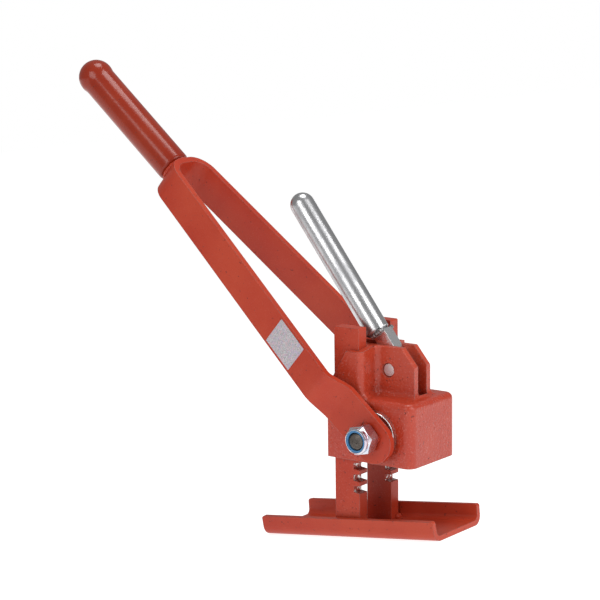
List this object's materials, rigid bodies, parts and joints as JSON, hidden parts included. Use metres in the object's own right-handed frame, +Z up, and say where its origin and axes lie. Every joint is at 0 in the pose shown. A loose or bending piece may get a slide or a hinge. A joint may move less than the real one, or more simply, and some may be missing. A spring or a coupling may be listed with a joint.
{
  "type": "formwork clamp tensioner",
  "caption": "Hand tensioner for formwork tie rods: channel foot, toothed racks, cast sliding housing, forked lever handle and cam grip lever.",
  "frame": {"origin": "centre of the foot's tie rod hole on the foot's underside, which is also the foot of the tie rod's centre line", "axes": "+Z up from the foot's underside, +X towards the housing's nose, +Y across, towards the pivot bolt's head; the racks lean 7.5 degrees from +Z towards +X"},
  "size_m": [0.3718, 0.127, 0.4465],
  "materials": {
    "red_paint": "semi-gloss red paint",
    "cast_red_paint": "semi-gloss red paint on a sand casting",
    "zinc": "bright zinc plate",
    "steel": "bare hardened steel",
    "nylon": "blue nylon",
    "foil": "blank foil label"
  },
  "bodies": {
    "foot": {"foot_plate": "red_paint", "rack_left": "red_paint", "rack_right": "red_paint", "rack_welds": "red_paint"},
    "carriage": {"housing": "cast_red_paint", "fixed_jaw": "steel", "jaw_screws": "zinc", "cam_pin": "zinc", "shaft_bush_left": "zinc", "shaft_bush_right": "zinc"},
    "handle": {"handle_yoke": "red_paint", "handle_grip": "red_paint", "grip_weld": "red_paint", "drive_shaft": "steel", "pinion_left": "steel", "pinion_right": "steel", "pivot_bolt": "zinc", "bolt_washer": "zinc", "lock_nut": "zinc", "nut_insert": "nylon", "data_label": "foil"},
    "cam_lever": {"lever_bar": "zinc", "grip_cam": "steel", "lever_weld": "zinc"}
  },
  "joints": [
    {"name": "carriage_slide", "type": "slide", "parent": "foot", "child": "carriage", "axis": [0.1305, 0, 0.9914], "range_m": [-0.0172, 0.0191]},
    {"name": "handle_swing", "type": "hinge", "parent": "carriage", "child": "handle", "pos_m": [0.0462, 0, 0.09302], "axis": [0, -1, 0], "range_deg": [-45, 50]},
    {"name": "cam_swing", "type": "hinge", "parent": "carriage", "child": "cam_lever", "pos_m": [0.05105, 0, 0.14563], "axis": [0, 1, 0], "range_deg": [0, 70]}
  ],
  "couplings": [
    {"joint": "carriage_slide", "follows": "handle_swing", "m_per_rad": 0.021663}
  ]
}
